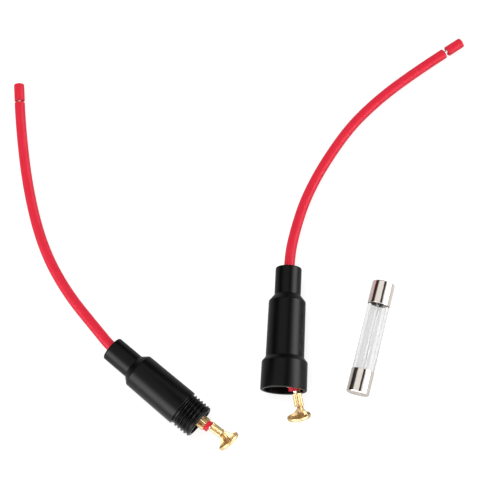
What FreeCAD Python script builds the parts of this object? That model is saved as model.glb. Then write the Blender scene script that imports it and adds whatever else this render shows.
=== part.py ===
"""An inline holder for a 6 x 30 mm glass fuse, unscrewed and laid out on a table.

Two moulded halves have slid back on their leads, so the stamped contacts hang out of both mouths.
The fuse lies beside them. Millimetres and degrees, +Z up, the table at Z = 0, and the origin under
the middle of the halves, contacts and fuse.
"""

import FreeCAD, Part
import math
import os
from FreeCAD import Placement, Rotation, Vector

# Lead: a stranded core in a PVC jacket, with a short slug of jacket left on each stripped end.
lead_od = 2.8
core_od = 1.1
core_clearance = 0.03
core_tip_inset = 0.35
slug_length = 4.8
slug_gap_male = 0.7
slug_gap_female = 1.2

# Contact: one piece of stamped brass, a hollow domed head on a lead crimp.
sheet = 0.3
crimp_clearance = 0.02
head_dia = 6.1
dome_height = 1.2
neck_length = 2.4
neck_width = 1.5
neck_root_width = 3.4
neck_root_height = 2.15
tab_inset = 0.4
tab_step = 0.05
core_crimp_length = 3.3
core_crimp_width = 2.3
core_crimp_overlap = 0.3
jacket_crimp_length = 2.5
crimp_spacing = 1.4
core_seam_half = 0.16
core_seam_depth = 0.2
seam_width = 0.5
seam_depth = 0.22
base_width = 1.3
base_step = 0.03

# Fuse: a glass tube with two plated caps, a wire element and solder inside each cap.
fuse_length = 30.2
cap_dia = 5.95
cap_length = 6.2
cap_wall = 0.145
cap_end = 0.25
cap_edge = 0.3
glass_wall = 0.65
glass_clearance = 0.02
solder_depth = 0.5
solder_dome = 0.9
element_dia = 0.24

# Bores that both halves share.
head_clearance = 0.45
crimp_passage = 0.15
bore_edge = 0.15

# Screw thread: rings of the right pitch and depth stand for the single start.
pitch = 1.0
thread_depth = 0.5
crest_flat = 0.12
thread_clearance = 0.3
spigot_wall = 0.65
spigot_length = 5.8
first_crest = 0.85
spigot_end_chamfer = 0.45
relief_width = 0.35

# Male half, from its tail end.
male_tail_length = 7.6
male_tail_wall = 1.42
male_shoulder_length = 1.6
male_barrel_length = 15.0
male_barrel_wall = 1.175
male_seat = 9.0

# Female half, from its tail end.
female_tail_length = 7.5
female_tail_wall = 1.56
female_shoulder_length = 1.7
female_barrel_length = 14.8
female_barrel_wall = 1.31
female_seat = 7.9
seat_length = 1.5
collar_step_length = 1.2
collar_length = 7.3
collar_wall = 0.95
lead_in_length = 1.8
lead_in_clearance = 0.2
spigot_end_gap = 0.3

# Moulding draft, and the rounding of the outer edges.
draft_deg = 0.57
tail_edge = 0.5
shoulder_edge = 0.6
collar_edge = 0.35
rim_edge = 0.4

# Spring: it lies in the male bore, behind the contact.
spring_wire = 0.45
spring_bore_gap = 0.3
spring_turns = 6.5
spring_sides = 8
spring_length = 9.4
spring_seat_gap = 0.1

# Places on the table. A yaw turns from +X, and a pitch lifts the mouth.
male_tail_xy = (-35.99, 2.30)
male_yaw = -40.0
female_tail_xy = (9.91, 23.45)
female_yaw = -93.06
female_pitch = 1.5
fuse_centre_xy = (31.13, 5.30)
fuse_yaw = 75.1

# Head of each contact: its shift and lean against the crimp, from bending in use.
male_roll = 40.0
male_head_shift = (0.0, -0.5, 0.0)
male_head_lean = (-10.0, 0.0)
female_roll = 70.0
female_head_shift = (0.0, 0.2, -1.02)
female_head_lean = (-4.0, -16.0)

# Routes of the two leads, from the end of the jacket at the contact to the stripped end.
male_route = [
    Vector(-10.33, -17.52, 4.91),
    Vector(-15.58, -13.67, 4.84),
    Vector(-23.12, -8.50, 4.75),
    Vector(-35.76, 2.11, 4.59),
    Vector(-39.57, 6.67, 3.9),
    Vector(-48.77, 17.87, 1.9),
    Vector(-55.57, 30.17, 1.4),
    Vector(-60.27, 46.37, 1.4),
    Vector(-63.17, 64.87, 1.4),
    Vector(-63.72, 71.47, 1.4),
]
female_route = [
    Vector(10.94, -8.82, 5.2),
    Vector(9.82, -2.69, 6.74),
    Vector(9.07, 7.68, 5.65),
    Vector(9.89, 23.15, 5.25),
    Vector(11.03, 31.87, 3.3),
    Vector(15.63, 46.27, 1.6),
    Vector(25.53, 62.37, 1.4),
    Vector(34.43, 71.77, 1.4),
    Vector(45.43, 80.47, 1.4),
    Vector(54.13, 86.37, 1.4),
]

# Radii that follow from the sizes above.
lead_r = lead_od / 2
core_r = core_od / 2
head_r = head_dia / 2
cap_r = cap_dia / 2
glass_r = cap_r - cap_wall - glass_clearance
jacket_crimp_r = lead_r + crimp_clearance + sheet
tail_bore_r = jacket_crimp_r + crimp_passage
bore_r = head_r + head_clearance
root_r = bore_r + spigot_wall
crest_r = root_r + thread_depth
draft = math.tan(math.radians(draft_deg))
male_barrel_r = bore_r + male_barrel_wall
male_mouth_barrel_r = male_barrel_r + male_barrel_length * draft
female_barrel_r = bore_r + female_barrel_wall
collar_minor_r = root_r + thread_clearance
collar_major_r = crest_r + thread_clearance
collar_r = collar_major_r + collar_wall
lead_in_r = male_mouth_barrel_r + lead_in_clearance

X = Vector(1, 0, 0)
Y = Vector(0, 1, 0)
Z = Vector(0, 0, 1)


def outline(corners):
    """A closed flat wire in the XZ plane through corners (x, z) or (x, z, rounding)."""
    points = [Vector(c[0], 0, c[1]) for c in corners]
    rounding = [c[2] if len(c) > 2 else 0 for c in corners]
    ends = []
    for i, point in enumerate(points):
        before = (points[i - 1] - point).normalize()
        after = (points[(i + 1) % len(points)] - point).normalize()
        if rounding[i]:
            half = before.getAngle(after) / 2
            cut = rounding[i] / math.tan(half)
            middle = (before + after).normalize() * (rounding[i] / math.sin(half) - rounding[i])
            ends.append((point + before * cut, point + middle, point + after * cut))
        else:
            ends.append((point, None, point))
    edges = []
    for i, (start, middle, end) in enumerate(ends):
        if middle:
            edges.append(Part.Arc(start, middle, end).toShape())
        edges.append(Part.LineSegment(end, ends[(i + 1) % len(ends)][0]).toShape())
    return Part.Wire(edges)


def turned(corners):
    """A solid turned about the X axis from the corners (x, radius) of its section."""
    return Part.Face(outline(corners)).revolve(Vector(), X, 360)


def thread_rings(start, end, low, high, first):
    """Corners (x, radius) of V grooves of radius low between crests of radius high."""
    corners = []
    crest = start + first
    while crest + crest_flat / 2 < end:
        corners += [(crest - crest_flat / 2, high), (crest + crest_flat / 2, high)]
        if crest + pitch / 2 < end:
            corners.append((crest + pitch / 2, low))
        crest += pitch
    return corners


def make_male_half():
    """The threaded half, along +X from its tail end."""
    shoulder = male_tail_length + male_shoulder_length
    front = shoulder + male_barrel_length
    mouth = front + spigot_length
    tail_r = tail_bore_r + male_tail_wall
    rings = thread_rings(front, mouth - pitch / 2, root_r, crest_r, first_crest)
    return turned(
        [
            (0, tail_bore_r),
            (0, tail_r, tail_edge),
            (male_tail_length, tail_r, tail_edge),
            (shoulder, male_barrel_r, shoulder_edge),
            (front, male_mouth_barrel_r, bore_edge),
            (front, root_r),
            (front + relief_width, root_r),
            *rings,
            (mouth - spigot_end_chamfer, crest_r - thread_depth / 4, bore_edge),
            (mouth, crest_r - thread_depth, bore_edge),
            (mouth, bore_r, bore_edge),
            (male_seat, bore_r),
            (male_seat, tail_bore_r, bore_edge),
        ]
    )


def make_female_half():
    """The half with the internally threaded collar, along +X from its tail end."""
    shoulder = female_tail_length + female_shoulder_length
    step = shoulder + female_barrel_length
    collar = step + collar_step_length
    mouth = collar + collar_length
    tail_r = tail_bore_r + female_tail_wall
    lead_in = mouth - lead_in_length
    bottom = lead_in - spigot_length - spigot_end_gap
    first = pitch / 2 + relief_width
    grooves = thread_rings(bottom, lead_in - pitch / 2, collar_minor_r, collar_major_r, first)
    return turned(
        [
            (0, tail_bore_r),
            (0, tail_r, tail_edge),
            (female_tail_length, tail_r, tail_edge),
            (shoulder, female_barrel_r, shoulder_edge),
            (step, female_barrel_r + female_barrel_length * draft, shoulder_edge),
            (collar, collar_r, collar_edge),
            (mouth, collar_r + collar_length * draft, rim_edge),
            (mouth, lead_in_r, bore_edge),
            (lead_in, lead_in_r),
            (lead_in, collar_minor_r, bore_edge),
            *reversed(grooves),
            (bottom, collar_minor_r),
            (bottom, bore_r, bore_edge),
            (female_seat + seat_length, bore_r),
            (female_seat, tail_bore_r, bore_edge),
        ]
    )


def make_spring():
    """The coil spring, along +X from its seat in the male bore."""
    step = 2 * math.pi / spring_sides
    corner_r = (bore_r - spring_bore_gap - spring_wire / 2) / math.cos(step / 2)
    start = male_seat + spring_seat_gap + spring_wire / 2
    count = round(spring_turns * spring_sides)
    rise = (spring_length - spring_wire) / count
    points = [
        Vector(start + rise * i, corner_r * math.cos(step * i), corner_r * math.sin(step * i))
        for i in range(count + 1)
    ]
    return swept(points, spring_wire / 2)


def plate(corners, thickness):
    """A flat plate: its side view in the XZ plane, spread evenly to both sides of it."""
    face = Part.Face(outline(corners))
    face.translate(Y * (-thickness / 2))
    return face.extrude(Y * thickness)


def core_crimp_section(low):
    """The flat section of the core's crimp across X: a round back and two curled lobes, from Z = low up."""
    lobe_r = core_crimp_width / 4
    middle = low + 2 * lobe_r
    slope = math.acos(core_seam_half / lobe_r - 1)
    right = Vector(0, 2 * lobe_r, middle)
    crest = Vector(0, lobe_r, middle + lobe_r)
    inner = Vector(0, lobe_r * (1 + math.cos(slope)), middle + lobe_r * math.sin(slope))
    groove = Vector(0, 0, middle + lobe_r - core_seam_depth)
    left, left_crest, left_inner = (Vector(0, -v.y, v.z) for v in (right, crest, inner))
    edges = [
        Part.Arc(left, Vector(0, 0, low), right).toShape(),
        Part.Arc(right, crest, inner).toShape(),
        Part.LineSegment(inner, groove).toShape(),
        Part.LineSegment(groove, left_inner).toShape(),
        Part.Arc(left_inner, left_crest, left).toShape(),
    ]
    return Part.Face(Part.Wire(edges))


def make_crimp(core_start):
    """Both crimps and the base between them, along +X, open side up. X = 0 is the jacket's end."""
    front = core_start + core_crimp_length
    grip = core_start - crimp_spacing - jacket_crimp_length
    base_z = -core_r - sheet
    core_crimp = core_crimp_section(base_z).extrude(X * core_crimp_length)
    core_crimp.translate(X * core_start)
    jacket_grip = Part.makeCylinder(jacket_crimp_r, jacket_crimp_length, X * grip, X)
    low = -lead_r - crimp_clearance - base_step
    high = base_z + sheet + base_step
    bend = core_start - crimp_spacing / 2
    base = plate(
        [
            (grip + jacket_crimp_length / 2, low),
            (bend, low),
            (core_start + core_crimp_overlap, high),
            (core_start + core_crimp_overlap, high - sheet),
            (bend, low - sheet),
            (grip + jacket_crimp_length / 2, low - sheet),
        ],
        base_width,
    )
    core_hole = Part.makeCylinder(core_r + crimp_clearance, core_crimp_length * 2, X * (core_start - 0.5), X)
    jacket_hole = Part.makeCylinder(lead_r + crimp_clearance, jacket_crimp_length + 2, X * (grip - 1), X)
    seam = plate(
        [
            (grip - 1, jacket_crimp_r + sheet),
            (grip - 1, jacket_crimp_r - seam_depth),
            (grip + jacket_crimp_length + 1, jacket_crimp_r - seam_depth),
            (grip + jacket_crimp_length + 1, jacket_crimp_r + sheet),
        ],
        seam_width,
    )
    solid = core_crimp.fuse([jacket_grip, base])
    return solid.cut([core_hole, jacket_hole, seam]), front, base_z + base_step


def rectangle(centre, side, thick, width, thickness):
    """A flat rectangular wire from its centre and the directions of its width and thickness."""
    half_side = side * (width / 2)
    half_thick = thick * (thickness / 2)
    corners = [
        centre - half_side - half_thick,
        centre + half_side - half_thick,
        centre + half_side + half_thick,
        centre - half_side + half_thick,
    ]
    return Part.makePolygon(corners + corners[:1])


def make_head():
    """The hollow dome with the tab that the neck grows from, its rim at X = 0."""
    outer_r = (head_r**2 + dome_height**2) / (2 * dome_height)
    inner_r = outer_r - sheet
    centre_x = dome_height - outer_r
    rim_angle = math.asin(head_r / outer_r)
    inner_angle = math.acos(-centre_x / inner_r)
    ends = []
    edges = []
    for radius, angle in ((outer_r, rim_angle), (inner_r, inner_angle)):
        points = [
            Vector(centre_x + radius * math.cos(a), 0, radius * math.sin(a)) for a in (0, angle / 2, angle)
        ]
        edges.append(Part.Arc(*points).toShape())
        ends.append((points[0], points[-1]))
    for near, far in zip(*ends):
        edges.append(Part.LineSegment(near, far).toShape())
    dome = Part.Face(Part.Wire(Part.__sortEdges__(edges))).revolve(Vector(), X, 360)
    tab = Part.makeCylinder(head_r - tab_inset, sheet - tab_step, X * tab_step, X)
    keep = Part.makeBox(head_dia, head_dia, head_r, Vector(-head_r, -head_r, neck_root_height - sheet / 2))
    return dome.fuse(tab.common(keep))


def make_contact(core_start, roll, shift, lean):
    """A whole contact along +X, with X = 0 at the end of the jacket that it grips."""
    crimp, front, base_z = make_crimp(core_start)
    crimp.rotate(Vector(), X, roll)
    head = make_head().rotated(Vector(), X, roll)
    yaw, pitch_down = lean
    turn = Rotation(Z, yaw).multiply(Rotation(Y, -pitch_down))
    place = Placement(Vector(front + neck_length, 0, 0) + Vector(*shift), turn)
    head.Placement = place
    base = Rotation(X, roll)
    neck_start = base.multVec(Vector(front - core_crimp_overlap, 0, base_z + sheet / 2))
    neck = rectangle(neck_start, base.multVec(Y), base.multVec(Z), neck_width, sheet)
    root_middle = place.multVec(base.multVec(Vector(sheet / 2, 0, neck_root_height)))
    across = place.Rotation.multVec(base.multVec(Y))
    outward = place.Rotation.multVec(base.multVec(Z))
    root = rectangle(root_middle, across, outward, neck_root_width, sheet)
    strip = Part.makeLoft([neck, root], True, True)
    return crimp.fuse(strip).fuse(head).removeSplitter()


def path(points, before=0, beyond=0):
    """Straight runs joined by the largest tangent arcs, and their radii.

    The first run starts earlier by before, and the last run ends later by beyond.
    """
    edges = []
    radii = []
    start = points[0] + (points[0] - points[1]).normalize() * before
    for last, corner, following in zip(points, points[1:], points[2:]):
        back = last - corner
        on = following - corner
        turn = math.pi - back.getAngle(on)
        cut = 0.45 * min(back.Length, on.Length)
        radius = cut / math.tan(turn / 2)
        back.normalize()
        on.normalize()
        begin = corner + back * cut
        end = corner + on * cut
        middle = corner + (back + on).normalize() * (radius / math.cos(turn / 2) - radius)
        edges.append(Part.LineSegment(start, begin).toShape())
        edges.append(Part.Arc(begin, middle, end).toShape())
        radii.append(radius)
        start = end
    end = points[-1] + (points[-1] - points[-2]).normalize() * beyond
    edges.append(Part.LineSegment(start, end).toShape())
    return Part.Wire(edges), radii


def swept(points, outer_r, inner_r=0, before=0, beyond=0):
    """A round bar or tube along a route, checked against its section times its length."""
    wire, radii = path(points, before, beyond)
    start = wire.Vertexes[0].Point
    direction = points[1] - points[0]
    outer = Part.Wire(Part.makeCircle(outer_r, start, direction))
    bar = wire.makePipeShell([outer], True, False)
    area = math.pi * outer_r**2
    if inner_r:
        inner = Part.Wire(Part.makeCircle(inner_r, start, direction))
        bar = bar.cut(wire.makePipeShell([inner], True, False))
        area = math.pi * (outer_r**2 - inner_r**2)
    print(f"  length {wire.Length:.2f}, volume share {bar.Volume / (area * wire.Length):.4f}")
    print("  bend radii", sorted({round(r, 1) for r in radii}))
    return bar


def along(start, direction):
    """The placement that puts a piece made along +X at start, pointing in direction."""
    yaw = math.degrees(math.atan2(direction.y, direction.x))
    rise = math.degrees(math.atan2(direction.z, math.hypot(direction.x, direction.y)))
    return Placement(start, Rotation(Z, yaw).multiply(Rotation(Y, -rise)))


def make_lead(name, route, core_start, roll, shift, lean, slug_gap):
    """One lead with its contact, core and slug, where they lie."""
    print(name)
    to_contact = (route[0] - route[1]).normalize()
    to_end = (route[-1] - route[-2]).normalize()
    contact = make_contact(core_start, roll, shift, lean)
    contact.Placement = along(route[0], to_contact)
    core_tip = core_start + core_crimp_length - core_tip_inset
    core = swept(route, core_r, 0, core_tip, slug_gap + slug_length - core_tip_inset)
    slug = Part.makeCylinder(lead_r, slug_length, route[-1] + to_end * slug_gap, to_end)
    slug_bore = Part.makeCylinder(core_r + core_clearance, 3 * slug_length, route[-1], to_end)
    return {
        f"{name}_contact": contact,
        f"{name}_lead_jacket": swept(route, lead_r, core_r + core_clearance),
        f"{name}_lead_core": core,
        f"{name}_lead_slug": slug.cut(slug_bore),
    }


def make_fuse():
    """The fuse along +X with its middle at the origin."""
    half = fuse_length / 2
    glass_half = half - cap_end - solder_depth
    inner_r = cap_r - cap_wall
    glass = turned(
        [
            (-glass_half, glass_r - glass_wall),
            (-glass_half, glass_r),
            (glass_half, glass_r),
            (glass_half, glass_r - glass_wall),
        ]
    )
    cap = turned(
        [
            (half - cap_length, inner_r),
            (half - cap_length, cap_r),
            (half, cap_r, cap_edge),
            (half, 0),
            (half - cap_end, 0),
            (half - cap_end, inner_r),
        ]
    )
    dome_r = glass_r - glass_wall - glass_clearance
    dome_tip = glass_half - solder_dome
    solder = turned(
        [
            (half - cap_end, 0),
            (half - cap_end, inner_r - glass_clearance),
            (glass_half, inner_r - glass_clearance),
            (glass_half, dome_r),
            (dome_tip, dome_r / 2, solder_dome / 2),
            (dome_tip, 0),
        ]
    )
    reach = glass_half - solder_dome / 2
    element = Part.makeCylinder(element_dia / 2, 2 * reach, X * -reach, X)
    solder = solder.cut(element)
    pieces = {"fuse_glass": glass, "fuse_element": element}
    for side, angle in (("a", 0), ("b", 180)):
        for name, shape in (("cap", cap), ("solder", solder)):
            pieces[f"fuse_{name}_{side}"] = shape.rotated(Vector(), Z, angle)
    return pieces


def on_table(pieces, xy, yaw, rise=0):
    """Turns pieces made along +X by their rise and yaw and rests them on the table at (x, y)."""
    turn = Placement(Vector(), Rotation(Z, yaw).multiply(Rotation(Y, -rise)))
    for shape in pieces.values():
        shape.Placement = turn.multiply(shape.Placement)
    height = -min(shape.optimalBoundingBox(False).ZMin for shape in pieces.values())
    for shape in pieces.values():
        shape.translate(Vector(xy[0], xy[1], height))
    print(f"axis from {xy} at height {height:.3f}")
    return pieces


def make_all():
    """Every piece where it lies, by node name."""
    male = {"male_half": make_male_half(), "contact_spring": make_spring()}
    female = {"female_half": make_female_half()}
    nodes = on_table(male, male_tail_xy, male_yaw, draft_deg)
    nodes |= on_table(female, female_tail_xy, female_yaw, female_pitch)
    nodes |= on_table(make_fuse(), fuse_centre_xy, fuse_yaw)
    nodes |= make_lead("male", male_route, 0.35, male_roll, male_head_shift, male_head_lean, slug_gap_male)
    nodes |= make_lead(
        "female", female_route, 0.8, female_roll, female_head_shift, female_head_lean, slug_gap_female
    )
    return nodes


os.makedirs("parts", exist_ok=True)
parts = make_all()
loose = Part.makeCompound([s for n, s in parts.items() if "_lead_" not in n])
box = loose.optimalBoundingBox(False)
print("object without leads:", [round(v, 3) for v in (box.XMin, box.XMax, box.YMin, box.YMax, box.ZMin, box.ZMax)])
for node, shape in parts.items():
    solids = shape.Solids
    print(f"{node:20s} solids {len(solids)} volume {shape.Volume:9.3f} valid {shape.isValid()}")
    shape.exportStep(f"parts/{node}.step")
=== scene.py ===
"""An unscrewed inline fuse holder on a white table, with its glass fuse beside it.

Two black moulded halves have slid back on their red leads, so a stamped brass contact hangs out of each.
Sizes are in millimetres, and become metres when a piece gets its place. The leads' routes, the camera, the
lamps and the table are in metres.
"""

import math

import bmesh
import bpy
from mathutils import Matrix, Vector


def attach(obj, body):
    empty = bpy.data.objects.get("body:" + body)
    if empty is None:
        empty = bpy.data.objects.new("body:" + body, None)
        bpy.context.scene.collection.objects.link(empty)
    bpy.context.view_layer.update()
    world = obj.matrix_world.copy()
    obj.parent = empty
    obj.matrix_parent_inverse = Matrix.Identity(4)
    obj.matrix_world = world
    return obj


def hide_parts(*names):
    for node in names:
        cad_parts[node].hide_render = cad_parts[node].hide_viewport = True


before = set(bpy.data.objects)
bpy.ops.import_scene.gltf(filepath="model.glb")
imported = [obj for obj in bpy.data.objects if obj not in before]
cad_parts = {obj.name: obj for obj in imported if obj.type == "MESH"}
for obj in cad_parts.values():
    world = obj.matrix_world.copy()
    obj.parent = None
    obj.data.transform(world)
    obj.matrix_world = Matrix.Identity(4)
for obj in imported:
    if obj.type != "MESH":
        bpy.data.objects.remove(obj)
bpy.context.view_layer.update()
MM = 0.001


# The table and the studio: a white sweep that the picture shows as plain white, three soft lamps, and a
# camera that looks down at 74 degrees. Gloss sees a dim room with two bright low walls and a lit ceiling, as
# in a light tent, and a table that is brightest in front of the holder.


class Value:
    """A socket of a node tree. Arithmetic on it adds the Math nodes."""

    def __init__(self, tree, socket):
        self.tree = tree
        self.socket = socket

    def math(self, operation, *others):
        """This value and others through one Math node."""
        return self.tree.add(self.tree.math_kind, dict(enumerate((self, *others))), operation=operation)

    def __add__(self, other):
        return self.math("ADD", other)

    def __sub__(self, other):
        return self.math("SUBTRACT", other)

    def __rsub__(self, other):
        return self.tree.value(other).math("SUBTRACT", self)

    def __mul__(self, other):
        return self.math("MULTIPLY", other)

    def __truediv__(self, other):
        return self.math("DIVIDE", other)

    def __pow__(self, other):
        return self.math("POWER", other)

    __radd__ = __add__
    __rmul__ = __mul__

    def clamp(self):
        """The value held between nothing and one."""
        return self.math("MAXIMUM", 0.0).math("MINIMUM", 1.0)


class Tree:
    """A shader or geometry node tree whose nodes are added from types, settings and values."""

    math_kind = "ShaderNodeMath"

    def __init__(self, tree):
        self.tree = tree

    def node(self, kind, inputs=(), stops=(), **settings):
        """A new node. Its settings are set first, then a ramp's two stops, then its sockets."""
        node = self.tree.nodes.new(kind)
        for name, setting in settings.items():
            setattr(node, name, setting)
        for i, (position, grey) in enumerate(stops):
            stop = node.color_ramp.elements[i]
            stop.position = position
            stop.color = (grey, grey, grey, 1.0)
        for key, value in dict(inputs).items():
            if isinstance(value, Value):
                self.tree.links.new(value.socket, node.inputs[key])
            else:
                node.inputs[key].default_value = value
        return node

    def add(self, kind, inputs=(), out=0, stops=(), **settings):
        """One output of a new node."""
        return Value(self, self.node(kind, inputs, stops, **settings).outputs[out])

    def value(self, number):
        """A number as a value, for the left side of a subtraction."""
        return self.add(self.math_kind, {0: number, 1: 0.0}, operation="ADD")

    def mix(self, factor, low, high):
        """A colour between low and high."""
        inputs = {0: factor, 6: low, 7: high}
        return self.add("ShaderNodeMix", inputs, out=2, data_type="RGBA")

    def noise(self, place, scale, detail, roughness=0.5):
        """Cloudy noise between nothing and one."""
        inputs = {"Vector": place, "Scale": scale, "Detail": detail, "Roughness": roughness}
        return self.add("ShaderNodeTexNoise", inputs)

    def place(self):
        """Where a point is, on its object."""
        return self.add("ShaderNodeTexCoord", out="Object")

    def xyz(self, vector):
        """The three parts of a vector."""
        axes = self.node("ShaderNodeSeparateXYZ", {0: vector})
        return [Value(self, output) for output in axes.outputs]

    def bump(self, height, distance, strength):
        """The normal of a surface that has this height on it."""
        inputs = {"Height": height, "Distance": distance, "Strength": strength}
        return self.add("ShaderNodeBump", inputs)


def material(name, make):
    """A material whose Principled shader gets the sockets that make(tree) returns."""
    made = bpy.data.materials.new(name)
    made.use_nodes = True
    tree = Tree(made.node_tree)
    shader = made.node_tree.nodes["Principled BSDF"]
    for key, value in make(tree).items():
        if isinstance(value, Value):
            made.node_tree.links.new(value.socket, shader.inputs[key])
        else:
            shader.inputs[key].default_value = value
    return made


def ray_kinds(tree):
    """Whether a ray comes straight from the camera, straight or through glass, and off a glossy surface."""
    rays = tree.node("ShaderNodeLightPath")
    seen = Value(tree, rays.outputs["Is Camera Ray"])
    through = Value(tree, rays.outputs["Is Transmission Ray"])
    gloss = Value(tree, rays.outputs["Is Glossy Ray"])
    return seen, (seen + through).clamp(), gloss


def lamp(name, direction, distance, size, power):
    """A soft lamp that shines at the middle of the table from a direction. Gloss doesn't see it."""
    light = bpy.data.lights.new(name, "AREA")
    light.shape = "RECTANGLE"
    light.size, light.size_y = size
    light.energy = power
    lamp_object = bpy.data.objects.new(name, light)
    toward = Vector(direction).normalized()
    lamp_object.location = toward * distance
    lamp_object.rotation_euler = toward.to_track_quat("Z", "Y").to_euler()
    lamp_object.visible_glossy = False
    bpy.context.collection.objects.link(lamp_object)


picture_pixels = 480
focal_length_pixels = 1200
camera_tilt = math.radians(16)
camera_distance = 0.322216
picture_middle = Vector((-0.00287, 0.03257, 0))
camera = bpy.data.cameras.new("camera")
camera.angle = 2 * math.atan(picture_pixels / 2 / focal_length_pixels)
camera.clip_start = 0.01
camera_object = bpy.data.objects.new("camera", camera)
back_up = Vector((0, -math.sin(camera_tilt), math.cos(camera_tilt)))
camera_object.location = picture_middle + back_up * camera_distance
camera_object.rotation_euler = (camera_tilt, 0, 0)
bpy.context.collection.objects.link(camera_object)
bpy.context.scene.camera = camera_object

bpy.context.scene.view_settings.view_transform = "Standard"

world = bpy.data.worlds.new("studio")
world.use_nodes = True
bpy.context.scene.world = world
sky = Tree(world.node_tree)
world.node_tree.nodes.clear()
seen, clear, gloss = ray_kinds(sky)
backdrop_through_glass = 0.8
backdrop = seen + (1 - seen) * backdrop_through_glass
x, y, z = sky.xyz(sky.add("ShaderNodeTexCoord", out="Generated"))


def white_wall(azimuth, reach, low, high, level):
    """A lit wall of the tent that gloss sees, between two heights (sines) round an azimuth in degrees."""
    side_fade = 0.2
    low_fade = 0.28
    high_fade = 0.25
    azimuth, reach = math.radians(azimuth), math.radians(reach)
    flat = (1.0001 - z * z) ** 0.5
    facing = (x * math.cos(azimuth) + y * math.sin(azimuth)) / flat
    across = ((facing - math.cos(reach)) / side_fade).clamp()
    return across * ((z - low) / low_fade).clamp() * ((high - z) / high_fade).clamp() * level


def band(position, middle, half_width, fade):
    """One within a half width of the middle, and nothing beyond it, with a soft edge."""
    return ((half_width - (position - middle).math("ABSOLUTE")) / fade).clamp()


right_wall = white_wall(azimuth=-7, reach=55, low=0.02, high=0.80, level=6.5)
near_wall = white_wall(azimuth=-127, reach=55, low=-0.05, high=0.80, level=6.0)

# A dark bar in the ceiling makes the dark line along each bright cap.
bar_cos = 0.97
bar_sin = 0.26
bar_darkness = 0.98
across_bar = band(x * bar_cos - y * bar_sin, middle=0.19, half_width=0.20, fade=0.04)
along_bar = band(x * bar_sin + y * bar_cos, middle=0.20, half_width=0.40, fade=0.05)
overhead = ((z - 0.7) / 0.05).clamp()
dark_bar = across_bar * along_bar * overhead * bar_darkness

ceiling_light = 0.85
room_light = 0.03
fill_light = 0.45
ceiling = ((z - 0.45) / 0.2).clamp() * (1 - dark_bar) * ceiling_light
tent = room_light + ceiling + right_wall + near_wall
level = clear * backdrop + (1 - clear) * (gloss * tent + (1 - gloss) * fill_light)
background = sky.add("ShaderNodeBackground", {"Color": (1, 1, 1, 1), "Strength": level})
sky.node("ShaderNodeOutputWorld", {"Surface": background})

lamp("right_wall", (0.93, -0.10, 0.36), distance=0.55, size=(0.5, 0.16), power=0.8)
lamp("near_wall", (-0.60, -0.74, 0.30), distance=0.55, size=(0.5, 0.16), power=0.8)
lamp("top_left", (-0.25, 0.25, 0.90), distance=0.80, size=(0.3, 0.3), power=2.6)

table_half = 1.5
table_top = -2e-5
corners = [(-table_half, -table_half), (table_half, -table_half)]
corners += [(table_half, table_half), (-table_half, table_half)]
table_mesh = bpy.data.meshes.new("table")
table_mesh.from_pydata([(x, y, table_top) for x, y in corners], [], [(0, 1, 2, 3)])
table = bpy.data.objects.new("table", table_mesh)
bpy.context.collection.objects.link(table)

# The table glows of itself. Gloss sees it dim, a little brighter on the right, and bright in front.
seen_light = 0.82
spread_light = 0.42
mirrored_light = 0.25
mirrored_in_front = 0.75
mirrored_on_right = 0.17
table_material = bpy.data.materials.new("table_white")
table_material.use_nodes = True
tree = Tree(table_material.node_tree)
table_material.node_tree.nodes.clear()
seen, clear, gloss = ray_kinds(tree)
x, y, z = tree.xyz(tree.place())
in_front = ((-0.010 - y - x * 0.2) / 0.018).clamp()
on_right = ((x - 0.030) / 0.012).clamp()
mirrored = mirrored_light + in_front * mirrored_in_front + on_right * mirrored_on_right
strength = clear * seen_light + (1 - clear) * (spread_light + gloss * (mirrored - spread_light))
paper = tree.add("ShaderNodeBsdfDiffuse", {"Color": (0.35, 0.35, 0.35, 1)})
glow = tree.add("ShaderNodeEmission", {"Color": (1, 1, 1, 1), "Strength": strength})
both = tree.add("ShaderNodeAddShader", {0: paper, 1: glow})
tree.node("ShaderNodeOutputMaterial", {"Surface": both})
table_mesh.materials.append(table_material)


# The two leads: a soft red PVC jacket drawn over twisted tinned strands. Each leaves its contact's crimp,
# runs through the bore of its half and lies on the table in one loose curve, to a stripped end.


def finished(name, mesh_material, mesh, body, node):
    """Adds a mesh as a piece that rides on a body and stands for a CAD node."""
    piece = bpy.data.objects.new(name, mesh)
    bpy.context.collection.objects.link(piece)
    if mesh_material:
        mesh.materials.clear()
        mesh.materials.append(mesh_material)
    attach(piece, body)
    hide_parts(node)
    return piece


def smooth_mesh(name, shape, place, sharp=40):
    """A mesh from a bmesh, moved to its place, with its faces outward and smooth below a sharp angle."""
    bmesh.ops.remove_doubles(shape, verts=shape.verts, dist=1e-4)
    bmesh.ops.recalc_face_normals(shape, faces=shape.faces)
    shape.transform(place)
    mesh = bpy.data.meshes.new(name)
    shape.to_mesh(mesh)
    shape.free()
    mesh.shade_smooth()
    mesh.set_sharp_from_angle(angle=math.radians(sharp))
    return mesh


def axis_place(start, toward):
    """The place of a shape made in millimetres along +X, from its start in metres and its direction."""
    turn = Vector(toward).normalized().to_track_quat("X", "Z").to_matrix().to_4x4()
    return Matrix.Translation(start) @ turn @ Matrix.Scale(MM, 4)


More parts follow.
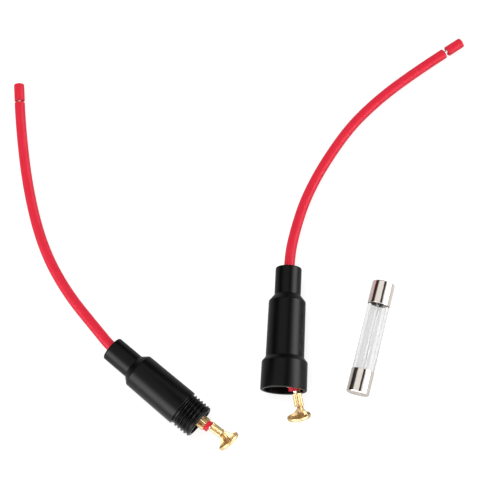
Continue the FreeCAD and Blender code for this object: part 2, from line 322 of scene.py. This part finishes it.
def rounded(corners, step=15):
    """Points (x, radius) of a closed section from its corners (x, radius) or (x, radius, rounding)."""
    points = []
    for i, corner in enumerate(corners):
        here = Vector(corner[:2])
        if len(corner) < 3:
            points.append(tuple(here))
            continue
        before = (Vector(corners[i - 1][:2]) - here).normalized()
        after = (Vector(corners[(i + 1) % len(corners)][:2]) - here).normalized()
        half = before.angle(after) / 2
        centre = here + (before + after).normalized() * (corner[2] / math.sin(half))
        first = here + before * (corner[2] / math.tan(half)) - centre
        turn = math.pi - 2 * half
        side = 1 if before.cross(after) < 0 else -1
        count = max(2, math.ceil(math.degrees(turn) / step))
        for k in range(count + 1):
            points.append(tuple(centre + Matrix.Rotation(side * turn * k / count, 2) @ first))
    return points


def lathe(points, sides=96):
    """A closed shape in millimetres, turned about the X axis from its section's points (x, radius)."""
    shape = bmesh.new()
    rings = []
    for i in range(sides):
        angle = 2 * math.pi * i / sides
        rings.append([shape.verts.new((x, r * math.cos(angle), r * math.sin(angle))) for x, r in points])
    for i in range(sides):
        ring, following = rings[i - 1], rings[i]
        for j in range(len(points)):
            corners = (ring[j - 1], ring[j], following[j], following[j - 1])
            if points[j - 1][1] > 1e-6 or points[j][1] > 1e-6:
                shape.faces.new(corners)
    return shape


lead_d = 2.8
jacket_end_round = 0.12
slug_length = 4.8
slug_bore_r = 0.58
strand_ring_r = 0.4
strand_r = 0.135
strand_count = 11
strand_lay = 11.0
strand_step = 0.9
strand_slug_inset = 0.35
strand_crimp_inset = 0.1
core_crimp_length = 3.3
core_crimp_entry = 0.2

male_route = [
    (-0.01058, -0.01812, 0.00491),
    (-0.01576, -0.01408, 0.00484),
    (-0.02312, -0.00850, 0.00475),
    (-0.03576, 0.00211, 0.00459),
    (-0.03957, 0.00667, 0.0039),
    (-0.04877, 0.01787, 0.0019),
    (-0.05557, 0.03017, 0.0014),
    (-0.06027, 0.04637, 0.0014),
    (-0.06317, 0.06487, 0.0014),
    (-0.06372, 0.07147, 0.0014),
]
female_route = [
    (0.01094, -0.00882, 0.0052),
    (0.00982, -0.00269, 0.00674),
    (0.00907, 0.00768, 0.00565),
    (0.00989, 0.02315, 0.00525),
    (0.01103, 0.03187, 0.0033),
    (0.01563, 0.04627, 0.0016),
    (0.02553, 0.06237, 0.0014),
    (0.03443, 0.07177, 0.0014),
    (0.04543, 0.08047, 0.0014),
    (0.05413, 0.08637, 0.0014),
]


def red_jacket(tree):
    """Soft red PVC that lets a little light in, with faint streaks."""
    place = tree.place()
    streak = tree.noise(place, 220.0, 3.0)
    grain = tree.noise(place, 5200.0, 2.0)
    colour = tree.mix(streak, (0.74, 0.011, 0.036, 1), (0.82, 0.026, 0.058, 1))
    return {
        "Base Color": colour,
        "Roughness": 0.36 + 0.12 * grain,
        "Specular IOR Level": 0.3,
        "Subsurface Weight": 0.12,
        "Subsurface Radius": (1.0, 0.2, 0.1),
        "Subsurface Scale": 0.0008,
        "Normal": tree.bump(grain * 0.4 + streak, 0.00002, 0.5),
    }


def tinned(tree):
    """Tinned copper wire."""
    grain = tree.noise(tree.place(), 3500.0, 3.0)
    return {
        "Base Color": tree.mix(grain, (0.62, 0.60, 0.57, 1), (0.90, 0.89, 0.87, 1)),
        "Metallic": 1.0,
        "Roughness": 0.25 + 0.2 * grain,
    }


red_pvc = material("red_pvc", red_jacket)
tinned_wire = material("tinned_wire", tinned)


class GeometryTree(Tree):
    """A geometry node group made for one kind of piece, with named inputs for its sizes."""

    def __init__(self, name):
        super().__init__(bpy.data.node_groups.new(name, "GeometryNodeTree"))
        self.sockets = self.tree.interface
        self.sockets.new_socket("Geometry", in_out="INPUT", socket_type="NodeSocketGeometry")
        self.sockets.new_socket("Geometry", in_out="OUTPUT", socket_type="NodeSocketGeometry")
        self.start = self.tree.nodes.new("NodeGroupInput")
        self.end = self.tree.nodes.new("NodeGroupOutput")

    def size(self, name, default=0.0):
        """A new named input for a size."""
        socket = self.sockets.new_socket(name, in_out="INPUT", socket_type="NodeSocketFloat")
        socket.default_value = default
        return Value(self, self.start.outputs[name])

    def geometry(self):
        """The mesh that the tree is given."""
        return Value(self, self.start.outputs["Geometry"])

    def finish(self, shape, finish_material):
        """Closes the tree: the shape made real, in its material."""
        real = self.add("GeometryNodeRealizeInstances", {"Geometry": shape})
        coated = self.add("GeometryNodeSetMaterial", {"Geometry": real, "Material": finish_material})
        self.tree.links.new(coated.socket, self.end.inputs["Geometry"])
        return self

    def make(self, name, mesh, **sizes):
        """The mesh that the tree makes from a mesh and from sizes given by their inputs' names."""
        holder = bpy.data.objects.new(name, mesh)
        bpy.context.collection.objects.link(holder)
        modifier = holder.modifiers.new("shape", "NODES")
        modifier.node_group = self.tree
        for item in self.sockets.items_tree:
            key = item.name.lower().replace(" ", "_")
            if item.in_out == "INPUT" and key in sizes:
                modifier[item.identifier] = float(sizes[key])
        evaluated = holder.evaluated_get(bpy.context.evaluated_depsgraph_get())
        made = bpy.data.meshes.new_from_object(evaluated)
        bpy.data.objects.remove(holder)
        made.name = name
        return made


def strand_tree():
    """Twisted wires round a plain core, all following the line that they are given."""
    group = GeometryTree("twisted_strands")
    wire_r = group.size("Wire radius", strand_r * MM)
    ring_r = group.size("Ring radius", strand_ring_r * MM)
    count = group.size("Count", strand_count)
    lay = group.size("Lay", strand_lay * MM)
    step = group.size("Step", strand_step * MM)
    line = group.add("GeometryNodeMeshToCurve", {"Mesh": group.geometry()})
    line = group.add("GeometryNodeResampleCurve", {"Curve": line, "Length": step}, mode="LENGTH")
    along = group.add("GeometryNodeSplineParameter", out="Length")
    line = group.add("GeometryNodeSetCurveTilt", {"Curve": line, "Tilt": along / lay * (2 * math.pi)})
    whole = group.add("FunctionNodeFloatToInt", {"Float": count})
    ring = group.add("GeometryNodeCurvePrimitiveCircle", {"Resolution": whole, "Radius": ring_r})
    wire = group.add("GeometryNodeCurvePrimitiveCircle", {"Resolution": 7, "Radius": wire_r})
    wires = group.add("GeometryNodeInstanceOnPoints", {"Points": ring, "Instance": wire})
    wires = group.add("GeometryNodeRealizeInstances", {"Geometry": wires})
    core = group.add("GeometryNodeCurvePrimitiveCircle", {"Resolution": 12, "Radius": ring_r})
    join = group.node("GeometryNodeJoinGeometry")
    for part in (core, wires):
        group.tree.links.new(part.socket, join.inputs[0])
    inputs = {"Curve": line, "Profile Curve": Value(group, join.outputs[0]), "Fill Caps": True}
    return group.finish(group.add("GeometryNodeCurveToMesh", inputs), tinned_wire)


strands = strand_tree()


def route_curve(name, route):
    """A smooth curve with a route's points as its control points."""
    curve = bpy.data.curves.new(name, "CURVE")
    curve.dimensions = "3D"
    spline = curve.splines.new("NURBS")
    spline.points.add(len(route) - 1)
    for point, where in zip(spline.points, route):
        point.co = (*where, 1.0)
    spline.order_u = 3
    spline.use_endpoint_u = True
    spline.resolution_u = 16
    return curve


def line_points(name, route):
    """Points along a route's smooth curve, read from its evaluated line."""
    bare = bpy.data.objects.new(name, route_curve(name, route))
    bpy.context.collection.objects.link(bare)
    evaluated = bare.evaluated_get(bpy.context.evaluated_depsgraph_get())
    mesh = bpy.data.meshes.new_from_object(evaluated)
    points = [v.co.copy() for v in mesh.vertices]
    bpy.data.objects.remove(bare)
    bpy.data.meshes.remove(mesh)
    return points


def make_lead(name, route, grip, gap, slug_body):
    """A lead's jacket, strands and slug. The strands go on into the contact's grip on them."""
    curve = route_curve(f"{name}_jacket", route)
    curve.bevel_depth = lead_d / 2 * MM
    curve.bevel_resolution = 8
    curve.use_fill_caps = True
    curve.materials.append(red_pvc)
    jacket = bpy.data.objects.new(f"{name}_jacket", curve)
    bpy.context.collection.objects.link(jacket)
    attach(jacket, "leads_and_fuse")
    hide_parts(f"{name}_lead_jacket")

    points = line_points(f"{name}_line", route)
    last = (points[-1] - points[-2]).normalized()
    in_crimp = (core_crimp_length - strand_crimp_inset, core_crimp_entry)
    points[:0] = [grip @ Vector((x, 0, 0)) for x in in_crimp]
    points.append(points[-1] + last * (gap + slug_length - strand_slug_inset) * MM)
    path = bpy.data.meshes.new(f"{name}_path")
    path.from_pydata(points, [(i, i + 1) for i in range(len(points) - 1)], [])
    wires = strands.make(f"{name}_strands", path)
    for polygon in wires.polygons:
        polygon.use_smooth = True
    wires = finished(f"{name}_strands", None, wires, "leads_and_fuse", f"{name}_lead_core")

    section = rounded(
        [
            (0, slug_bore_r),
            (0, lead_d / 2, jacket_end_round),
            (slug_length, lead_d / 2, jacket_end_round),
            (slug_length, slug_bore_r),
        ]
    )
    place = axis_place(Vector(route[-1]) + last * gap * MM, last)
    mesh = smooth_mesh(f"{name}_slug", lathe(section, sides=48), place)
    slug = finished(f"{name}_slug", red_pvc, mesh, slug_body, f"{name}_lead_slug")


male_grip = axis_place(Vector((-0.01004, -0.01773, 0.00491)), (5.25, -3.85, 0.07))
female_grip = axis_place(Vector((0.01170, -0.00944, 0.00505)), (1.12, -6.13, -1.54))
make_lead("male", male_route, male_grip, gap=0.7, slug_body="male_slug")
make_lead("female", female_route, female_grip, gap=1.2, slug_body="female_slug")


# The two halves: glossy black mouldings, each turned from one section. The male half ends in a threaded
# spigot and the female half in a collar with the matching thread inside. A right-hand thread runs out at
# both of its ends.

draft = math.tan(math.radians(0.57))
edge_round = 0.15
tail_round = 0.5
shoulder_round = 0.6
barrel_start = 9.2
tail_bore_r = 1.87
bore_r = 3.5
thread_pitch = 1.0
thread_depth = 0.5
thread_run_out = 0.7
thread_root_flat = 0.08
thread_steepness = 1.18
thread_margin = 0.1
thread_ring_step = 0.0625


def black_plastic(tree):
    """Glossy black plastic with a fine mould skin and a few dull scuffs."""
    place = tree.place()
    skin = tree.noise(place, 260.0, 3.0)
    grain = tree.noise(place, 6500.0, 2.0)
    scuffs = tree.noise(place, 900.0, 4.0, 0.65)
    wear = tree.add("ShaderNodeValToRGB", {"Fac": scuffs}, stops=((0.60, 0.0), (0.74, 1.0)))
    return {
        "Base Color": tree.mix(wear * 0.5, (0.0010, 0.0010, 0.0012, 1), (0.006, 0.006, 0.006, 1)),
        "Roughness": 0.27 + 0.07 * skin + 0.10 * wear,
        "Specular IOR Level": 0.18,
        "Normal": tree.bump(grain * 0.5 + skin, 0.00001, 0.35),
    }


black_moulding = material("black_moulding", black_plastic)


def thread_tree():
    """Raises a right-hand thread round X on the points marked for it, with a run-out at both ends."""
    group = GeometryTree("thread")
    pitch = group.size("Pitch", thread_pitch)
    depth = group.size("Depth", thread_depth)
    start = group.size("Start")
    end = group.size("End")
    run_out = group.size("Run out", thread_run_out)
    x, y, z = group.xyz(group.add("GeometryNodeInputPosition"))
    angle = z.math("ARCTAN2", y) / (2 * math.pi)
    phase = (x / pitch - angle).math("FRACT")
    ridge = (phase - 0.5).math("ABSOLUTE") * 2.0
    tooth = ((ridge - thread_root_flat) * thread_steepness).clamp()
    present = ((x - start) / run_out).clamp() * ((end - x) / run_out).clamp()
    away = group.add("ShaderNodeCombineXYZ", {1: y, 2: z})
    away = group.add("ShaderNodeVectorMath", {0: away}, operation="NORMALIZE")
    marked = group.add("GeometryNodeInputNamedAttribute", {"Name": "thread"}, data_type="FLOAT")
    height = tooth * present * marked * depth
    shift = group.add("ShaderNodeVectorMath", {0: away, "Scale": height}, operation="SCALE")
    moved = group.add("GeometryNodeSetPosition", {"Geometry": group.geometry(), "Offset": shift})
    return group.finish(moved, black_moulding)


threads = thread_tree()


def thread_rings(start, end, radius):
    """Section points close enough together to carry the thread."""
    count = round((end - start) / thread_ring_step)
    return [(start + (end - start) * i / count, radius) for i in range(count + 1)]


def tail_and_barrel(tail_r, tail_length, barrel_r, barrel_end, rounding):
    """The outer corners that both halves share: a plain tail, a shoulder and a barrel with draft."""
    return [
        (0, tail_bore_r, edge_round),
        (0, tail_r, tail_round),
        (tail_length, tail_r, tail_round),
        (barrel_start, barrel_r, shoulder_round),
        (barrel_end, barrel_r + (barrel_end - barrel_start) * draft, rounding),
    ]


def moulding(name, corners, thread, place, body, node):
    """A half from its section's corners, with a thread of (start, end, root radius) raised on it."""
    start, end, root_r = thread
    shape = lathe(rounded(corners), sides=144)
    bmesh.ops.remove_doubles(shape, verts=shape.verts, dist=1e-4)
    bmesh.ops.recalc_face_normals(shape, faces=shape.faces)
    marked = shape.verts.layers.float.new("thread")
    for vertex in shape.verts:
        on_root = abs(math.hypot(vertex.co.y, vertex.co.z) - root_r) < 1e-3
        vertex[marked] = float(on_root and start < vertex.co.x < end)
    plain = bpy.data.meshes.new(name)
    shape.to_mesh(plain)
    shape.free()
    mesh = threads.make(name, plain, start=start, end=end)
    mesh.transform(place)
    mesh.shade_smooth()
    mesh.set_sharp_from_angle(angle=math.radians(32))
    return finished(name, black_moulding, mesh, body, node)


def table_place(x, y, height, yaw, rise):
    """The place on the table of a shape made along +X, in millimetres and degrees."""
    turn = Matrix.Rotation(math.radians(yaw), 4, "Z") @ Matrix.Rotation(math.radians(-rise), 4, "Y")
    return Matrix.Translation(Vector((x, y, height)) * MM) @ turn @ Matrix.Scale(MM, 4)


male_length = 30.0
male_tail_r = 3.29
male_tail_length = 7.6
male_barrel_r = 4.675
spigot_start = 24.2
spigot_root_r = 4.15
spigot_tip_start = 29.3
spigot_tip_full = 29.6
spigot_tip_r = 4.5
spring_seat = 9.0
male_place = table_place(x=-35.99, y=2.30, height=4.583, yaw=-40.0, rise=0.57)
male_corners = [
    *tail_and_barrel(male_tail_r, male_tail_length, male_barrel_r, spigot_start, edge_round),
    (spigot_start, spigot_root_r),
    *thread_rings(spigot_start + thread_margin, spigot_tip_start - thread_margin, spigot_root_r),
    (spigot_tip_start, spigot_tip_r - 0.08, 0.1),
    (spigot_tip_full, spigot_tip_r, 0.2),
    (male_length, spigot_tip_r - 0.4, edge_round),
    (male_length, bore_r, edge_round),
    (spring_seat, bore_r),
    (spring_seat, tail_bore_r, edge_round),
]
male_thread = (spigot_start + thread_margin, spigot_tip_full, spigot_root_r)
moulding("male_half_shell", male_corners, male_thread, male_place, "male_half", "male_half")

female_length = 32.5
female_tail_r = 3.43
female_tail_length = 7.5
female_barrel_r = 4.81
female_barrel_end = 24.0
contact_seat_start = 7.9
contact_seat_end = 9.4
collar_start = 25.2
collar_r = 5.9
collar_root_r = 4.45
collar_bore_start = 24.6
collar_mouth_start = 30.7
collar_mouth_r = 5.024
female_place = table_place(x=9.91, y=23.45, height=5.236, yaw=-93.06, rise=1.5)
female_corners = [
    *tail_and_barrel(female_tail_r, female_tail_length, female_barrel_r, female_barrel_end, shoulder_round),
    (collar_start, collar_r, 0.35),
    (female_length, collar_r + (female_length - collar_start) * draft, 0.25),
    (female_length, collar_mouth_r, edge_round),
    (collar_mouth_start, collar_mouth_r),
    (collar_mouth_start, collar_root_r, edge_round),
    *reversed(thread_rings(collar_start, collar_mouth_start - 2 * thread_margin, collar_root_r)),
    (collar_bore_start, collar_root_r),
    (collar_bore_start, bore_r, edge_round),
    (contact_seat_end, bore_r),
    (contact_seat_start, tail_bore_r, edge_round),
]
female_thread = (collar_start - thread_margin, collar_mouth_start - thread_margin, collar_root_r)
moulding("female_half_shell", female_corners, female_thread, female_place, "female_half", "female_half")


# The contacts: one stamping of bright brass sheet each. A crimp closes on the jacket and another on the
# strands, and a flared neck carries a hollow domed head, turned across to face the fuse.

sheet = 0.3
core_crimp_r = 1.0
core_lobe_r = 0.425
core_crimp_middle = 0.3
jacket_crimp_r = 1.57
seam_groove = 0.38
seam_groove_at = 22
seam_groove_width = 11
strip_across = (-0.65, -0.3, 0, 0.3, 0.65)
head_r = 3.05
head_depth = 1.2
head_clear_r = 2.55
dome_drop = 0.3
neck_length = 2.4
neck_overlap = 0.5
neck_middle = 0.1
neck_rows = 16
neck_rows_in_head = 6


def bright_brass(tree):
    """Bright brass sheet, a little uneven from being stamped and bent."""
    place = tree.place()
    worked = tree.noise(place, 420.0, 3.0)
    fine = tree.noise(place, 2600.0, 3.0, 0.6)
    tone = tree.mix(worked, (0.58, 0.375, 0.135, 1), (0.73, 0.55, 0.31, 1))
    return {
        "Base Color": tone,
        "Metallic": 0.65,
        "Roughness": 0.28 + 0.14 * fine,
        "Normal": tree.bump(worked + fine * 0.15, 0.00012, 0.45),
    }


brass = material("bright_brass", bright_brass)


def bent_sheet(shape, rows):
    """Adds sheet metal of even thickness to a shape. Its middle surface runs through rows of points."""
    count, width = len(rows), len(rows[0])
    layers = ([], [])
    for i in range(count):
        top, low = [], []
        for j in range(width):
            along = rows[min(i + 1, count - 1)][j] - rows[max(i - 1, 0)][j]
            across = rows[i][min(j + 1, width - 1)] - rows[i][max(j - 1, 0)]
            out = along.cross(across).normalized() * sheet / 2
            top.append(shape.verts.new(rows[i][j] + out))
            low.append(shape.verts.new(rows[i][j] - out))
        layers[0].append(top)
        layers[1].append(low)
    top, low = layers
    for i in range(count - 1):
        for j in range(width - 1):
            shape.faces.new((top[i][j], top[i][j + 1], top[i + 1][j + 1], top[i + 1][j]))
            shape.faces.new((low[i][j], low[i + 1][j], low[i + 1][j + 1], low[i][j + 1]))
    rim = [(i, 0) for i in range(count)] + [(count - 1, j) for j in range(1, width)]
    rim += [(i, width - 1) for i in range(count - 2, -1, -1)] + [(0, j) for j in range(width - 2, 0, -1)]
    for (i, j), (m, n) in zip(rim, rim[1:] + rim[:1]):
        shape.faces.new((top[i][j], top[m][n], low[m][n], low[i][j]))


def arc(centre, radius, start, end, count):
    """Points (y, z) on an arc, in degrees from +Y towards +Z."""
    angles = [math.radians(start + (end - start) * k / count) for k in range(count + 1)]
    return [(centre[0] + radius * math.cos(a), centre[1] + radius * math.sin(a)) for a in angles]


def close_core_crimp(shape, seam):
    """The grip on the strands: a half-round floor from X = 0, and two sides that roll in as lobes."""
    lobe_y = core_crimp_r - core_lobe_r
    curl = arc((-lobe_y, core_crimp_middle), core_lobe_r, -40, 180, 12)
    curl += arc((0, core_crimp_middle), core_crimp_r, 180, 360, 18)[1:]
    curl += arc((lobe_y, core_crimp_middle), core_lobe_r, 0, 220, 12)[1:]
    end = core_crimp_length
    flare = [(0.0, 1.12), (0.25, 1.03), (0.6, 1.0), (end - 0.6, 1.0), (end - 0.25, 1.03), (end, 1.1)]
    bent_sheet(shape, [[seam @ Vector((x, y * k, z * k)) for y, z in curl] for x, k in flare])


def close_jacket_crimp(shape, behind):
    """The grip on the jacket: a band closed round it, pressed in on both sides of its seam."""
    wrap = []
    for degrees in range(-264, 85, 6):
        from_seam = abs((degrees + 90) % 360 - 180)
        pressed = math.exp(-(((from_seam - seam_groove_at) / seam_groove_width) ** 2))
        radius = jacket_crimp_r - seam_groove * pressed
        angle = math.radians(degrees)
        wrap.append((radius * math.cos(angle), radius * math.sin(angle)))
    flare = [(-3.55, 1.05), (-3.3, 1.0), (-1.3, 1.0), (-1.05, 1.05)]
    bent_sheet(shape, [[behind @ Vector((x, y * k, z * k)) for y, z in wrap] for x, k in flare])


def join_crimps(shape, seam, behind):
    """The strip of sheet that joins the floors of the two crimps."""
    line = [behind @ Vector((-2.0, 0, -jacket_crimp_r)), behind @ Vector((-0.9, 0, -1.55))]
    line += [seam @ Vector((-0.15, 0, -0.86)), seam @ Vector((0.6, 0, -0.74))]
    side = seam.to_3x3() @ Vector((0, 1, 0))
    bent_sheet(shape, [[point + side * w for w in strip_across] for point in line])


def add_head(shape, head_place):
    """The head: a shallow dome with a turned rim, hollow behind, whose open back lies at X = 0."""
    inner_r = head_r - sheet
    crown_r = 2.5
    hollow_r = 2.3
    crown = [(head_depth - dome_drop * (r / crown_r) ** 2, r) for r in (0, 0.6, 1.2, 1.8, 2.3)]
    hollow = [(head_depth - sheet - dome_drop * (r / hollow_r) ** 2, r) for r in (2.1, 1.6, 1.1, 0.6, 0)]
    rim = [(0.86, head_r, 0.42), (0.0, head_r, 0.12), (0.0, inner_r, 0.12), (0.62, inner_r, 0.3)]
    head = lathe(rounded([*crown, *rim, *hollow]), sides=72)
    head.transform(head_place)
    head_mesh = bpy.data.meshes.new("head")
    head.to_mesh(head_mesh)
    head.free()
    shape.from_mesh(head_mesh)
    bpy.data.meshes.remove(head_mesh)


def add_neck(shape, head_place, rolls, fan_from, drift, lift):
    """The neck: a trough from inside the strands' crimp that fans out and runs into the hollow head.

    It rolls about its length from the first angle to the second, and fans out from a share of its length on.
    Where it meets the head, its middle has drifted to one side and all of it is lifted.
    """
    first_roll, last_roll = rolls
    rolled_at = 0.6
    drift_width = 2.7
    start = core_crimp_length - neck_overlap
    rows = []
    for k in range(neck_rows + neck_rows_in_head):
        along = k / neck_rows
        reached = min(1.0, along)
        fan = max(0.0, reached - fan_from) / (1 - fan_from)
        wing = 0.06 + 1.45 * fan
        wing_rise = 0.10 * fan
        half_width = 0.78 + 0.30 * fan
        depth = 0.85 + 0.40 * fan
        trough = [(y * half_width, z * depth) for y, z in arc((0, 0), 1.0, 190, 350, 12)]
        edge_y, edge_z = trough[0]
        left = [(edge_y - wing * n / 4, edge_z + wing_rise * n / 4) for n in (4, 3, 2, 1)]
        right = [(-y, z) for y, z in reversed(left)]
        roll = first_roll + (last_roll - first_roll) * min(1.0, reached / rolled_at)
        twist = Matrix.Rotation(math.radians(roll), 4, "X")
        blend = reached * reached * (3 - 2 * reached)
        row = []
        for y, z in left + trough + right:
            y += drift * reached * max(0.0, 1 - abs(y) / drift_width)
            z += neck_middle
            near = twist @ Vector((start + along * (neck_length + neck_overlap), y, z))
            far = twist @ Vector(((along - 1) * neck_length + 0.05, y, z)) + Vector((0, 0, lift))
            inward = min(1.0, head_clear_r / math.hypot(far.y, far.z))
            far.y *= inward
            far.z *= inward
            row.append(near.lerp(head_place @ far, blend))
        rows.append(row)
    bent_sheet(shape, rows)


def make_contact(name, grip, jacket_end, seam_roll, head_at, head_lean, **neck):
    """One contact, from its grip on the strands, its jacket's end, and the place and lean of its head."""
    shape = bmesh.new()
    seam = Matrix.Rotation(math.radians(seam_roll), 4, "X")
    behind = grip.inverted() @ jacket_end @ seam
    yaw, droop = (math.radians(angle) for angle in head_lean)
    lean = Matrix.Rotation(yaw, 4, "Z") @ Matrix.Rotation(droop, 4, "Y")
    head_start = Vector((core_crimp_length + neck_length, 0, 0)) + Vector(head_at)
    head_place = Matrix.Translation(head_start) @ lean
    close_core_crimp(shape, seam)
    close_jacket_crimp(shape, behind)
    join_crimps(shape, seam, behind)
    add_head(shape, head_place)
    add_neck(shape, head_place, **neck)
    mesh = smooth_mesh(f"{name}_stamping", shape, grip, sharp=35)
    return finished(f"{name}_stamping", brass, mesh, "leads_and_fuse", name)


def jacket_place(route):
    """The place of a shape along +X whose X = 0 is a lead's end in its contact."""
    return axis_place(Vector(route[0]), Vector(route[0]) - Vector(route[1]))


make_contact(
    "male_contact",
    male_grip,
    jacket_place(male_route),
    seam_roll=32,
    head_at=(-0.25, -0.5, 0.0),
    head_lean=(-10, 16),
    rolls=(40, 30),
    fan_from=0.15,
    drift=-0.4,
    lift=0.0,
)
make_contact(
    "female_contact",
    female_grip,
    jacket_place(female_route),
    seam_roll=20,
    head_at=(0.0, -0.55, -0.66),
    head_lean=(2, 9),
    rolls=(65, 22),
    fan_from=0.36,
    drift=0.9,
    lift=0.85,
)


# The contact spring: one drawn steel wire coiled round the male lead. It lies loose in the bore, against the
# seat at its end, and presses the contact on the fuse when the holder is screwed shut.

spring_r = 2.975
spring_wire_r = 0.225
spring_turns = 6.5
spring_length = 8.95
spring_gap = 0.1


def drawn_steel(tree):
    """Drawn spring steel."""
    grain = tree.noise(tree.place(), 1800.0, 3.0)
    return {
        "Base Color": tree.mix(grain, (0.50, 0.50, 0.50, 1), (0.72, 0.72, 0.71, 1)),
        "Metallic": 1.0,
        "Roughness": 0.22 + 0.15 * grain,
    }


spring_steel = material("spring_steel", drawn_steel)


def coil_tree():
    """A round wire wound round Z at an even pitch."""
    group = GeometryTree("coil")
    turns = group.size("Turns", spring_turns)
    radius = group.size("Radius", spring_r)
    length = group.size("Length", spring_length)
    wire_r = group.size("Wire radius", spring_wire_r)
    inputs = {"Rotations": turns, "Start Radius": radius, "End Radius": radius, "Height": length}
    line = group.add("GeometryNodeCurveSpiral", {"Resolution": 40, **inputs})
    section = group.add("GeometryNodeCurvePrimitiveCircle", {"Resolution": 14, "Radius": wire_r})
    inputs = {"Curve": line, "Profile Curve": section, "Fill Caps": True}
    return group.finish(group.add("GeometryNodeCurveToMesh", inputs), spring_steel)


spring_mesh = coil_tree().make("contact_coil", bpy.data.meshes.new("contact_coil"))
spring_start = Matrix.Translation((spring_seat + spring_gap + spring_wire_r, 0, 0))
spring_mesh.transform(male_place @ spring_start @ Matrix.Rotation(math.radians(90), 4, "Y"))
spring_mesh.shade_smooth()
spring_mesh.set_sharp_from_angle(angle=math.radians(60))
finished("contact_coil", None, spring_mesh, "spring", "contact_spring")


# The fuse: a clear glass tube with a bright nickel-plated brass cap on each end, a tinned element wire
# from cap to cap, and a bead of solder inside each cap that holds it.

fuse_length = 30.2
cap_r = 2.975
cap_length = 6.2
cap_wall = 0.145
cap_end = 0.25
glass_outer_r = 2.81
glass_inner_r = 2.16
glass_inset = 0.75
glass_round = 0.15
solder_gap = 0.02
solder_length = 0.9
solder_tip_r = 1.05
element_r = 0.08
element_inset = 0.3
element_steps = 40
fuse_place = table_place(x=31.13, y=5.30, height=cap_r, yaw=75.1, rise=0)


def nickel(tree):
    """Bright nickel plate, a little wavy."""
    place = tree.place()
    dents = tree.noise(place, 330.0, 2.0)
    fine = tree.noise(place, 2400.0, 2.0)
    return {
        "Base Color": tree.mix(dents, (0.84, 0.75, 0.68, 1), (0.95, 0.89, 0.82, 1)),
        "Metallic": 1.0,
        "Roughness": 0.06 + 0.05 * fine,
        "Normal": tree.bump(dents, 0.00010, 0.5),
    }


def clear_glass(tree):
    """Clear drawn glass with a faint ripple."""
    ripple = tree.noise(tree.place(), 160.0, 2.0)
    return {
        "Base Color": (0.85, 0.85, 0.85, 1),
        "Transmission Weight": 1.0,
        "IOR": 1.38,
        "Roughness": 0.1,
        "Normal": tree.bump(ripple, 0.00002, 0.2),
    }


def dull_solder(tree):
    """Dull grey solder."""
    grain = tree.noise(tree.place(), 1500.0, 3.0)
    return {
        "Base Color": tree.mix(grain, (0.40, 0.38, 0.36, 1), (0.52, 0.50, 0.47, 1)),
        "Metallic": 0.3,
        "Roughness": 0.6 + 0.15 * grain,
    }


def fuse_wire(tree):
    """Fine tinned wire."""
    grain = tree.noise(tree.place(), 2000.0, 2.0)
    return {
        "Base Color": tree.mix(grain, (0.55, 0.55, 0.55, 1), (0.72, 0.72, 0.72, 1)),
        "Metallic": 0.6,
        "Roughness": 0.45 + 0.1 * grain,
    }


bright_nickel = material("bright_nickel", nickel)
tube_glass = material("tube_glass", clear_glass)
solder = material("solder", dull_solder)
element_metal = material("element_metal", fuse_wire)

half_fuse = fuse_length / 2
glass_end = half_fuse - glass_inset
cap_inner_r = cap_r - cap_wall
cap_section = rounded(
    [
        (half_fuse - cap_length, cap_inner_r, 0.04),
        (half_fuse - cap_length, cap_r, 0.06),
        (half_fuse, cap_r, 0.3),
        (half_fuse, 0),
        (half_fuse - cap_end, 0),
        (half_fuse - cap_end, cap_inner_r),
    ]
)
solder_section = rounded(
    [
        (half_fuse - cap_end - solder_gap, 0),
        (half_fuse - cap_end - solder_gap, cap_inner_r - solder_gap),
        (glass_end + solder_gap, cap_inner_r - solder_gap),
        (glass_end + solder_gap, glass_inner_r - 0.05),
        (glass_end - solder_length, solder_tip_r, 0.4),
        (glass_end - solder_length, 0),
    ]
)
for side, turn in (("a", 0), ("b", math.pi)):
    end_place = fuse_place @ Matrix.Rotation(turn, 4, "Z")
    mesh = smooth_mesh(f"fuse_cap_{side}", lathe(cap_section), end_place, sharp=50)
    finished(f"cap_{side}", bright_nickel, mesh, "leads_and_fuse", f"fuse_cap_{side}")
    mesh = smooth_mesh(f"fuse_solder_{side}", lathe(solder_section, sides=48), end_place)
    finished(f"solder_{side}", solder, mesh, "leads_and_fuse", f"fuse_solder_{side}")

tube_section = rounded(
    [
        (-glass_end, glass_inner_r, glass_round),
        (-glass_end, glass_outer_r, glass_round),
        (glass_end, glass_outer_r, glass_round),
        (glass_end, glass_inner_r, glass_round),
    ]
)
mesh = smooth_mesh("fuse_tube", lathe(tube_section, sides=128), fuse_place)
finished("fuse_tube", tube_glass, mesh, "leads_and_fuse", "fuse_glass")


def element_tree():
    """A fine round wire that follows the line that it is given."""
    group = GeometryTree("element")
    wire_r = group.size("Wire radius", element_r)
    line = group.add("GeometryNodeMeshToCurve", {"Mesh": group.geometry()})
    section = group.add("GeometryNodeCurvePrimitiveCircle", {"Resolution": 10, "Radius": wire_r})
    inputs = {"Curve": line, "Profile Curve": section, "Fill Caps": True}
    return group.finish(group.add("GeometryNodeCurveToMesh", inputs), element_metal)


reach = glass_end - element_inset
wire_points = []
for k in range(element_steps + 1):
    x = -reach + 2 * reach * k / element_steps
    wire_points.append((x, 0.10 * math.sin(x * 0.45 + 0.6), 0.06 * math.sin(x * 0.3)))
wire_path = bpy.data.meshes.new("element_wire")
wire_path.from_pydata(wire_points, [(k, k + 1) for k in range(element_steps)], [])
wire_mesh = element_tree().make("element_wire", wire_path)
wire_mesh.transform(fuse_place)
wire_mesh.shade_smooth()
finished("element_wire", None, wire_mesh, "leads_and_fuse", "fuse_element")
